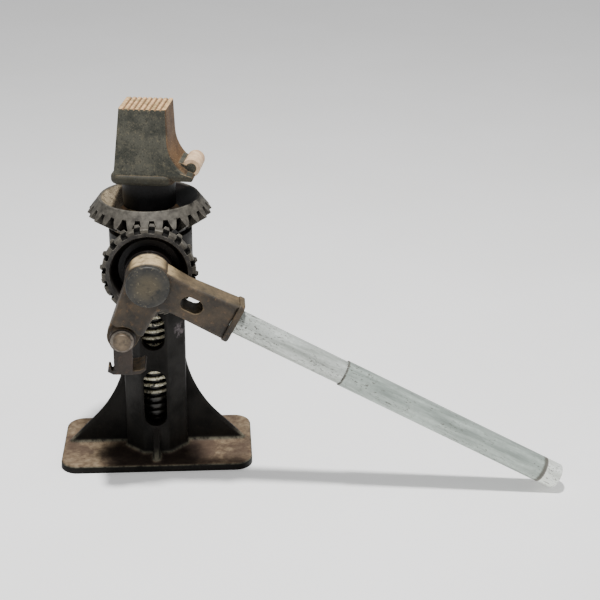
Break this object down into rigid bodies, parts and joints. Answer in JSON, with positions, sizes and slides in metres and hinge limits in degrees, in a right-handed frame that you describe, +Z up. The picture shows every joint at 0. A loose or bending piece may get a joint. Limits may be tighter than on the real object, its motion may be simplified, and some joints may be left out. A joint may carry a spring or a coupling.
{
  "type": "screw jack",
  "caption": "Bevel-gear screw jack with octagonal column on a rectangular base, swivelling toe head, and a ratchet lever carrying a pipe handle.",
  "frame": {"origin": "centre of the base's flat underside, on the lifting screw's axis", "axes": "+Z up along the lifting screw, +X across the base toward the lowered handle, -Y toward the pinion and lever side"},
  "size_m": [0.5657, 0.1986, 0.4175],
  "materials": {
    "cast_body": "dark oily rust",
    "steel_parts": "plain dull steel",
    "bearing_steel": "ground, oiled",
    "brass_cage": "plain",
    "greased_screw": "cut thread with tan grease",
    "bronze_nut": "machined bronze, oiled",
    "gear_steel": "worn grey teeth, dark oily hollows",
    "stud_steel": "forged, dull brown-grey",
    "cast_head": "dark grey-green with rust",
    "tan_sleeve": "pale tan worn skin",
    "cast_lever": "olive-brown rust, worn edges",
    "galvanised_pipe": "galvanised, scuffed"
  },
  "bodies": {
    "standard": {"standard": "cast_body", "guide_screw": "steel_parts", "guide_screw_locknut": "steel_parts", "thrust_race_lower": "bearing_steel", "pinion_stud": "stud_steel", "stud_lock_pin": "steel_parts", "stud_washer": "steel_parts"},
    "crown": {"crown_gear": "gear_steel", "screw_nut": "bronze_nut", "nut_keys": "steel_parts", "thrust_race_upper": "bearing_steel"},
    "ball_ring": {"thrust_balls": "bearing_steel", "ball_cage": "brass_cage"},
    "screw": {"lifting_screw": "greased_screw", "head_thrust_washer": "bearing_steel"},
    "head": {"load_head": "cast_head", "head_retaining_pins": "steel_parts", "toe_wear_sleeve": "tan_sleeve"},
    "pinion": {"bevel_pinion": "gear_steel"},
    "lever": {"lever_socket": "cast_lever", "pawl_pin": "stud_steel", "pawl_washer": "steel_parts", "handle_bar": "galvanised_pipe", "handle_sleeve": "galvanised_pipe", "handle_end_cap": "galvanised_pipe"},
    "pawl_arm": {"pawl": "cast_lever"}
  },
  "joints": [
    {"name": "crown_spin", "type": "hinge", "parent": "standard", "child": "crown", "pos_m": [0, 0, 0.251], "axis": [0, 0, -1], "range_deg": [0, 5400]},
    {"name": "pinion_spin", "type": "hinge", "parent": "standard", "child": "pinion", "pos_m": [0, -0.06, 0.251], "axis": [0, -1, 0], "range_deg": [0, 7020.5]},
    {"name": "ball_ring_spin", "type": "hinge", "parent": "standard", "child": "ball_ring", "pos_m": [0, 0, 0.272], "axis": [0, 0, -1], "range_deg": [0, 2700.5]},
    {"name": "screw_lift", "type": "slide", "parent": "standard", "child": "screw", "axis": [0, 0, 1], "range_m": [0, 0.1271]},
    {"name": "head_swivel", "type": "hinge", "parent": "screw", "child": "head", "pos_m": [0, 0, 0.352], "axis": [0, 0, 1], "continuous": true},
    {"name": "lever_swing", "type": "hinge", "parent": "standard", "child": "lever", "pos_m": [0, -0.091, 0.251], "axis": [0, -1, 0], "range_deg": [0, 235]},
    {"name": "pawl_swing", "type": "hinge", "parent": "lever", "child": "pawl_arm", "pos_m": [-0.0295, -0.0985, 0.1865], "axis": [0, -1, 0], "range_deg": [-120, 70]}
  ],
  "couplings": [
    {"joint": "pinion_spin", "follows": "crown_spin", "ratio": 1.3},
    {"joint": "ball_ring_spin", "follows": "crown_spin", "ratio": 0.5},
    {"joint": "screw_lift", "follows": "crown_spin", "m_per_rad": 0.001348}
  ]
}
